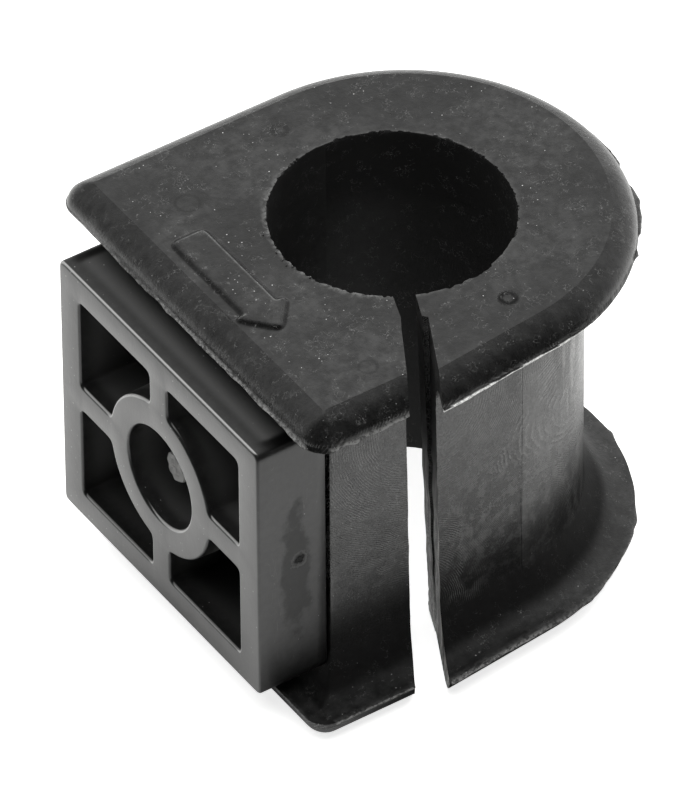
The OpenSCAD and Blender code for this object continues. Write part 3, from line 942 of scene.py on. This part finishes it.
def make_plastic(groups):
    """Satin black plastic with fine scratches, a greasy patch and a pin mark on its side, and the pale broken
    tip of the gate's stub. The front face is painted paler as painted light, the front edges carry painted
    highlights, and the top and the low parts of the sides are painted dark as painted shade."""
    material, tree, shader, position = new_material("grey_plastic")
    place = node(tree, "SeparateXYZ", {0: position})
    normal = node(tree, "NewGeometry").outputs["Normal"]
    facing = node(tree, "SeparateXYZ", {0: normal})
    clouds = noise(tree, position, 0.16, 2.0)
    mottle = noise(tree, position, 1.1, 5.0, 0.65)
    drawn_out = stretched(tree, position, 0.12)
    streaks = noise(tree, drawn_out, 3.2, 2.0, 0.6)
    dust = grouped(tree, groups["dust"], {"Position": position, "Cells per mm": 1.3, "Size": 0.14}).outputs[0]
    hair = {"Position": drawn_out, "Scale": 1.1, "Width": 0.006}
    hair = grouped(tree, groups["hairlines"], hair).outputs[0]

    # Where each kind of mark is
    behind = maths(tree, "ADD", place.outputs[0], BLOCK_FRONT_X)
    from_middle = maths(tree, "ABSOLUTE", place.outputs[1])
    inside = times(tree, ramp(tree, behind, 0.3, 2.5),
                   ramp(tree, from_middle, BLOCK_W / 2 - 1, BLOCK_W / 2 - 2))
    tip_centre = (GATE_BACK - BLOCK_FRONT_X, 0.0, MID_Z + GATE_LIFT)
    tip = ramp(tree, vector_maths(tree, "DISTANCE", position, tip_centre), 2.2, 1.6)
    # Painted light: the face turned to -X, the front, is painted paler
    front_painted_light = ramp(tree, facing.outputs[0], -0.8, -0.98)
    smear = vector_maths(tree, "MULTIPLY", vector_maths(tree, "SUBTRACT", position, SMEAR), SMEAR_SCALE)
    smear = total(tree, vector_maths(tree, "LENGTH", smear), (noise(tree, position, 0.45, 4.0, 0.7), 1.7))
    smear = ramp(tree, smear, 2.0, 1.6)
    # The noise shifts the mark by 0.8 mm on average, so its centre is moved as far
    shaken = vector_maths(tree, "ADD", position, times(tree, mottle, 1.6))
    on_pin = {"Position": shaken, "Centre": tuple(c + 0.8 for c in PIN_ON_SIDE)}
    mark = grouped(tree, groups["rings"], {**on_pin, "Radius": 0.2, "Width": 0.4}).outputs[0]
    halo = grouped(tree, groups["rings"], {**on_pin, "Radius": 0.9, "Width": 0.25}).outputs[0]
    # Painted shade: the sides go dark towards the bottom, below 13 mm
    flank = ramp(tree, maths(tree, "ABSOLUTE", facing.outputs[0]), 0.7, 0.4)
    low = times(tree, flank, ramp(tree, place.outputs[2], 13.0, 4.0))
    # Painted shade on the top face, under the rubber's upper flange
    top_shade = times(tree, ramp(tree, facing.outputs[2], 0.6, 0.9), ramp(tree, inside, 1.0, 0.0),
                   ramp(tree, behind, 0.2, 2.0))
    # Painted highlight: the rounded front edges that turn away from the camera
    edge = times(tree, ramp(tree, dot(tree, normal, AWAY), -0.5, -0.28), ramp(tree, behind, 0.35, 0.2))

    # Colour
    base = blend(tree, ramp(tree, mottle, 0.3, 0.75), grey(0.007), grey(0.014))
    # Painted light on the front face
    base = blend(tree, times(tree, front_painted_light, ramp(tree, clouds, 0.3, 0.7, 0.5, 0.9)), base, grey(0.07))
    base = blend(tree, times(tree, hair, 0.3), base, grey(0.12))
    base = blend(tree, inside, base, grey(0.042))
    # Painted highlight on the front edges
    base = blend(tree, edge, base, grey(0.3))
    # Painted shade low on the sides and on the top face
    base = blend(tree, maths(tree, "MAXIMUM", low, top_shade), base, grey(0.003))
    base = blend(tree, times(tree, smear, 0.8), base, grey(0.006))
    base = blend(tree, mark, base, grey(0.008))
    base = blend(tree, times(tree, halo, 0.25), base, grey(0.12))
    base = blend(tree, times(tree, dust, 0.6), base, grey(0.3))
    base = blend(tree, times(tree, tip, 0.9), base, grey(0.2))
    tree.links.new(base, shader.inputs["Base Color"])

    # Polish and relief
    rough = total(tree, 0.2, (mottle, 0.14), (clouds, 0.1), (smear, 0.1), (inside, 0.2), (tip, 0.3))
    tree.links.new(rough, shader.inputs["Roughness"])
    level = total(tree, 0.46, (mottle, 0.15), (smear, -0.14), (mark, -0.3), (low, -0.35), (top_shade, -0.33))
    tree.links.new(level, shader.inputs["Specular IOR Level"])
    relief = total(tree, (mottle, 0.02), (streaks, 0.008), (mark, -0.15), (halo, 0.02), (clouds, 0.05))
    bump = node(tree, "Bump", {"Height": relief, "Distance": MM, "Strength": 0.8})
    tree.links.new(bump.outputs[0], shader.inputs["Normal"])
    return material


# Light and floor, in metres

LAMP_PLACE = Vector((0.0, 0.05, 0.7))
LAMP_AIM = Vector((0, 0, 0.02))
FLOOR_HALF = 3.0


def make_light():
    """White surroundings that are dark towards the camera, and a broad lamp overhead."""
    world = bpy.data.worlds.new("studio")
    bpy.context.scene.world = world
    world.use_nodes = True
    tree = world.node_tree
    background = tree.nodes["Background"]
    direction = node(tree, "TexCoord").outputs["Generated"]
    beyond = dot(tree, direction, AWAY)
    height = node(tree, "SeparateXYZ", {0: direction}).outputs[2]
    far_side = ramp(tree, beyond, -0.35, 0.45)
    low_band = ramp(tree, height, 0.5, 0.05, 0.78, 1.15)
    strength = maths(tree, "ADD", times(tree, far_side, low_band), 0.05)
    tree.links.new(strength, background.inputs["Strength"])
    background.inputs["Color"].default_value = (1, 1, 0.99, 1)
    data = bpy.data.lights.new("overhead", "AREA")
    data.shape = "RECTANGLE"
    data.size, data.size_y = 1.0, 1.0
    data.energy = 9.0
    lamp = link(bpy.data.objects.new("overhead", data))
    lamp.location = LAMP_PLACE
    lamp.rotation_euler = (LAMP_AIM - LAMP_PLACE).to_track_quat("-Z", "Y").to_euler()
    lamp.visible_glossy = False


def make_floor():
    """A white floor, a little brighter to the camera than its own light makes it. Reflections see it painted
    dark as painted shadow round the object, and painted dark again further off towards the camera."""
    mesh = bpy.data.meshes.new("floor")
    corners = [(x * FLOOR_HALF, y * FLOOR_HALF, 0) for x, y in ((-1, -1), (1, -1), (1, 1), (-1, 1))]
    mesh.from_pydata(corners, [], [(0, 1, 2, 3)])
    floor = link(bpy.data.objects.new("floor", mesh))
    material, tree, shader, position = new_material("floor_white")
    off = vector_maths(tree, "LENGTH", position)
    # Painted shadow for reflections: dark round the object between about 14 and 36 mm from the axis, and dark
    # beyond about 60 mm on the camera's side
    lit = maths(tree, "MAXIMUM", ramp(tree, off, 25.0, 36.0), ramp(tree, off, 17.0, 14.0))
    beyond = ramp(tree, dot(tree, position, AWAY), -15.0, 15.0)
    white_to_reflections = times(tree, maths(tree, "MAXIMUM", ramp(tree, off, 90.0, 58.0), beyond), lit)
    path = node(tree, "LightPath")
    glossy = path.outputs["Is Glossy Ray"]
    # Reflections see the painted shadow; camera rays and the rest see white
    seen = blend(tree, white_to_reflections, grey(0.04), grey(0.88))
    tree.links.new(blend(tree, glossy, grey(0.88), seen), shader.inputs["Base Color"])
    shader.inputs["Roughness"].default_value = 0.9
    shader.inputs["Specular IOR Level"].default_value = 0.0
    shader.inputs["Emission Color"].default_value = (1, 1, 1, 1)
    lift = total(tree, (path.outputs["Is Camera Ray"], 0.75), (glossy, white_to_reflections, 0.5))
    tree.links.new(lift, shader.inputs["Emission Strength"])
    mesh.materials.append(material)


bpy.context.scene.view_settings.view_transform = "Standard"
make_camera()
make_light()
make_floor()

groups = {"dust": make_dust_group(), "hairlines": make_hairline_group(), "cutter": make_cutter_group(),
          "rings": make_ring_group()}
bush = make_bush()
bush.data.materials.append(make_rubber(groups))
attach(bush, "root")
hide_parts("rubber_bush")

block = mesh_object("plastic_block", block_parts(), PLASTIC_SHARP_DEG)
block.data.materials.append(make_plastic(groups))
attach(block, "root")
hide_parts("spacer_block")
